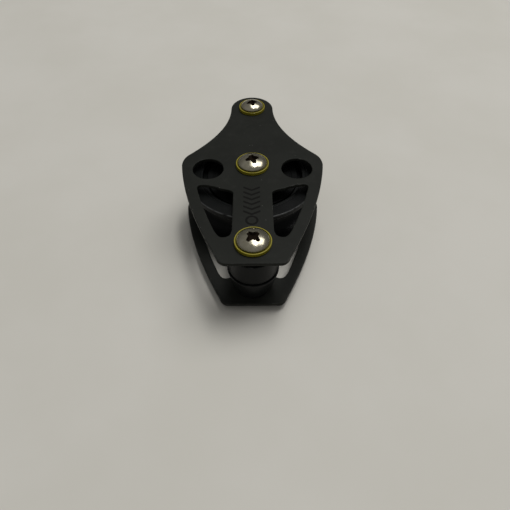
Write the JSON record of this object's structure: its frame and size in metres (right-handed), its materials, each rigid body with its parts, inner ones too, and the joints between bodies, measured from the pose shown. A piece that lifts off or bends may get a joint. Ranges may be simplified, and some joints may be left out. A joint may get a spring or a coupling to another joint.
{
  "type": "line block",
  "caption": "Sailing block: one grooved sheave on a two-row ball bearing between two cheek plates, with a rope post at each end.",
  "frame": {"origin": "on the axle's axis, in the plane of the nuts' and screws' lower ends that the block rests on", "axes": "+Z along the axle towards the screw heads; +Y along the cheeks towards the narrow lobe; +X to the right seen from the front, wide end nearest"},
  "size_m": [0.061, 0.109, 0.0334],
  "materials": {
    "black_anodised_aluminium": "satin black anodised, edges slightly polished",
    "black_acetal": "satin black, turned",
    "stainless_steel": "bright stainless, lightly brushed",
    "yellow_nylon": "olive yellow plastic",
    "white_acetal": "smooth white plastic balls"
  },
  "bodies": {
    "frame": {"upper_cheek": "black_anodised_aluminium", "lower_cheek": "black_anodised_aluminium", "axle_screw": "stainless_steel", "front_screw": "stainless_steel", "rear_screw": "stainless_steel", "axle_washer": "yellow_nylon", "front_washer": "yellow_nylon", "rear_washer": "yellow_nylon", "axle_nut": "stainless_steel", "front_nut": "stainless_steel", "rear_nut": "stainless_steel", "rear_nut_washer": "stainless_steel", "front_post_upper": "black_acetal", "front_post_lower": "black_acetal", "rear_post_upper": "black_acetal", "rear_post_lower": "black_acetal", "bearing_hub": "black_anodised_aluminium", "upper_bearing_cover": "black_acetal", "lower_bearing_cover": "black_acetal"},
    "sheave": {"sheave": "black_acetal"},
    "upper_ball_row": {"upper_ball_cage": "black_acetal", "upper_ball_01": "white_acetal", "upper_ball_02": "white_acetal", "upper_ball_03": "white_acetal", "upper_ball_04": "white_acetal", "upper_ball_05": "white_acetal", "upper_ball_06": "white_acetal", "upper_ball_07": "white_acetal", "upper_ball_08": "white_acetal", "upper_ball_09": "white_acetal", "upper_ball_10": "white_acetal", "upper_ball_11": "white_acetal", "upper_ball_12": "white_acetal", "upper_ball_13": "white_acetal", "upper_ball_14": "white_acetal"},
    "lower_ball_row": {"lower_ball_cage": "black_acetal", "lower_ball_01": "white_acetal", "lower_ball_02": "white_acetal", "lower_ball_03": "white_acetal", "lower_ball_04": "white_acetal", "lower_ball_05": "white_acetal", "lower_ball_06": "white_acetal", "lower_ball_07": "white_acetal", "lower_ball_08": "white_acetal", "lower_ball_09": "white_acetal", "lower_ball_10": "white_acetal", "lower_ball_11": "white_acetal", "lower_ball_12": "white_acetal", "lower_ball_13": "white_acetal", "lower_ball_14": "white_acetal"}
  },
  "joints": [
    {"name": "sheave_spin", "type": "hinge", "parent": "frame", "child": "sheave", "pos_m": [0, 0, 0.0162], "axis": [0, 0, 1], "continuous": true},
    {"name": "upper_row_orbit", "type": "hinge", "parent": "frame", "child": "upper_ball_row", "pos_m": [0, 0, 0.0198], "axis": [0, 0, 1], "continuous": true},
    {"name": "lower_row_orbit", "type": "hinge", "parent": "frame", "child": "lower_ball_row", "pos_m": [0, 0, 0.0126], "axis": [0, 0, 1], "continuous": true}
  ],
  "couplings": [
    {"joint": "upper_row_orbit", "follows": "sheave_spin", "ratio": 0.57927},
    {"joint": "lower_row_orbit", "follows": "sheave_spin", "ratio": 0.57927}
  ]
}
